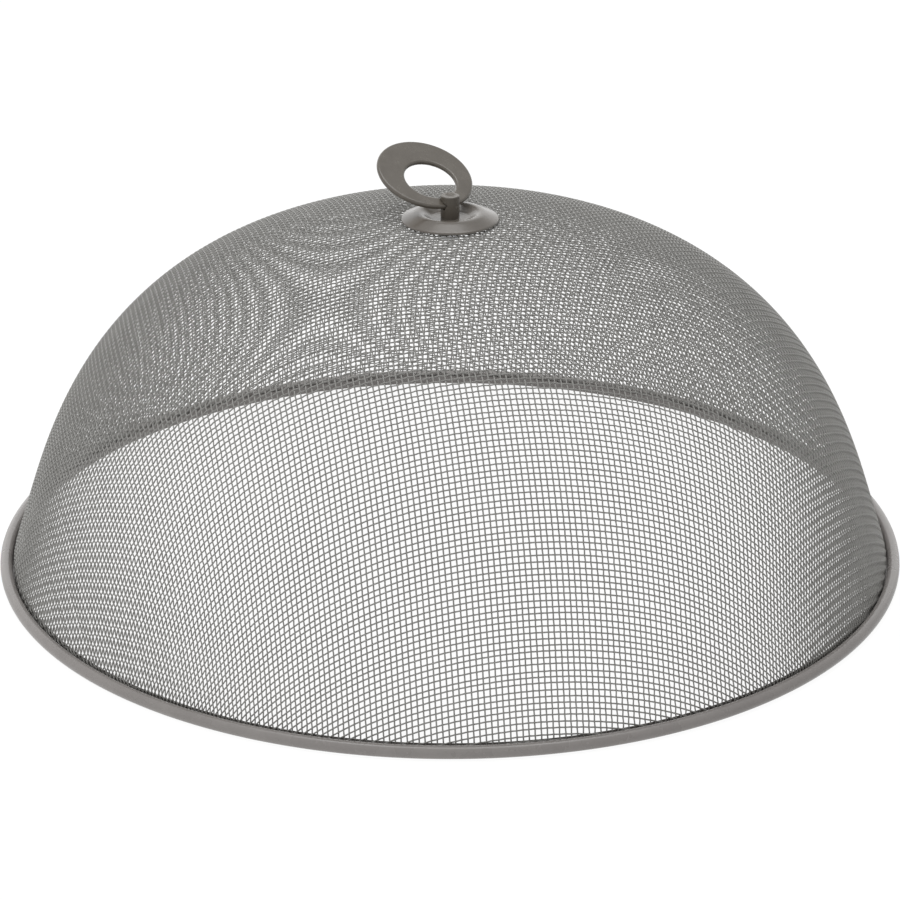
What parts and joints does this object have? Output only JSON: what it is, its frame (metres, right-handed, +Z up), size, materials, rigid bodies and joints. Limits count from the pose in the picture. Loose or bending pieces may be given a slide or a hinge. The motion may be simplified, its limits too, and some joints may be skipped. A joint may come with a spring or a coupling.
{
  "type": "mesh food cover",
  "caption": "Round dome of woven metal mesh with a rolled rim and a slanted ring handle, set over a plate to keep insects off food.",
  "frame": {"origin": "on the dome's axis, in the plane that the rim rests on", "axes": "+Z up the dome's axis towards the handle; -Y faces the viewer in the picture; the ring handle leans up towards -X and +Y"},
  "size_m": [0.35, 0.35, 0.157],
  "materials": {
    "mesh_paint": "satin warm grey paint over woven steel wire",
    "rim_paint": "glossy warm grey paint over rolled steel sheet",
    "rosette_paint": "glossy warm grey paint over pressed steel sheet",
    "handle_paint": "glossy warm grey paint over solid steel",
    "zinc_plate": "bright zinc plate",
    "bare_steel": "plain drawn steel wire"
  },
  "bodies": {
    "root": {"mesh_dome": "mesh_paint", "rim_channel": "rim_paint", "rim_core_wire": "bare_steel", "rosette": "rosette_paint", "handle_post": "handle_paint", "ring_handle": "handle_paint", "backing_washer": "zinc_plate", "lock_washer": "zinc_plate", "hex_nut": "zinc_plate"}
  },
  "joints": []
}
